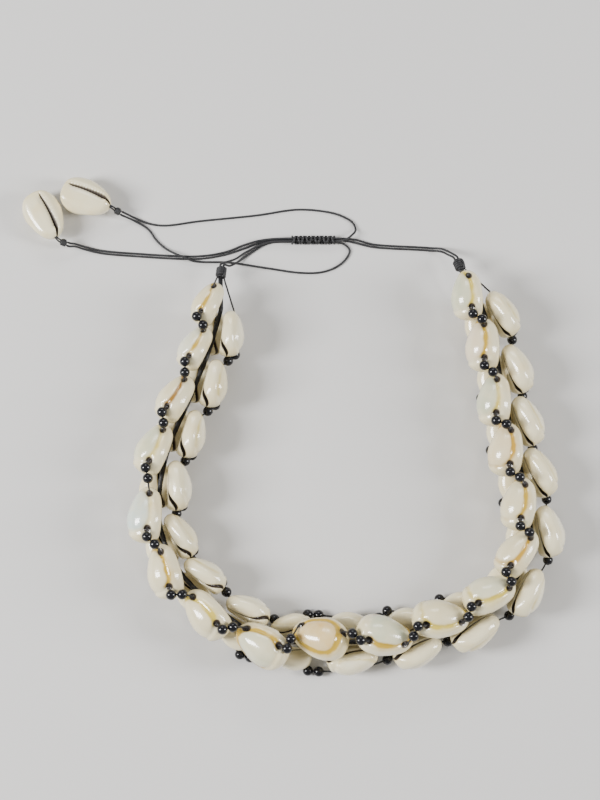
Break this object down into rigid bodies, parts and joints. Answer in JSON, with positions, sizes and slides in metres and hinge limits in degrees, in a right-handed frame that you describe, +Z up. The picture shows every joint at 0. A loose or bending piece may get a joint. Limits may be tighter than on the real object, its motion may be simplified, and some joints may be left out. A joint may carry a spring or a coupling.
{
  "type": "cowrie shell necklace",
  "caption": "Choker of cowrie shells strung in rows round a core cord, with black beads between them, a sliding knot and shell-ended waxed cords, lying open on a surface.",
  "frame": {"origin": "middle of the necklace, without its closing strands, on the surface it lies on", "axes": "+Z up from the surface, +X across the loop, to the right as seen from above, +Y towards the closing cords"},
  "size_m": [0.1754, 0.1631, 0.0217],
  "materials": {
    "shell": "glossy porcelain shell, white to cream",
    "bead": "glossy opaque black glass",
    "cord": "black waxed cord"
  },
  "bodies": {
    "root": {"top_shell_01": "shell", "top_shell_02": "shell", "top_shell_03": "shell", "top_shell_04": "shell", "top_shell_05": "shell", "top_shell_06": "shell", "top_shell_07": "shell", "top_shell_08": "shell", "top_shell_09": "shell", "top_shell_10": "shell", "top_shell_11": "shell", "top_shell_12": "shell", "top_shell_13": "shell", "top_shell_14": "shell", "top_shell_15": "shell", "top_shell_16": "shell", "top_shell_17": "shell", "top_shell_18": "shell", "inner_shell_01": "shell", "inner_shell_02": "shell", "inner_shell_03": "shell", "inner_shell_04": "shell", "inner_shell_05": "shell", "inner_shell_06": "shell", "inner_shell_07": "shell", "inner_shell_08": "shell", "outer_shell_09": "shell", "outer_shell_10": "shell", "outer_shell_11": "shell", "outer_shell_12": "shell", "outer_shell_13": "shell", "outer_shell_14": "shell", "outer_shell_15": "shell", "outer_shell_16": "shell", "outer_shell_17": "shell", "under_shells_left": "shell", "under_shells_right": "shell", "tail_shell_1": "shell", "tail_shell_2": "shell", "top_beads": "bead", "inner_beads": "bead", "outer_beads": "bead", "top_thread": "cord", "inner_thread": "cord", "outer_thread": "cord", "core_cord": "cord", "left_end_knot": "cord", "right_end_knot": "cord", "strand_a": "cord", "strand_b": "cord", "strand_c": "cord", "strand_d": "cord", "sliding_knot": "cord", "tail_knot_1": "cord", "tail_knot_2": "cord"}
  },
  "joints": []
}
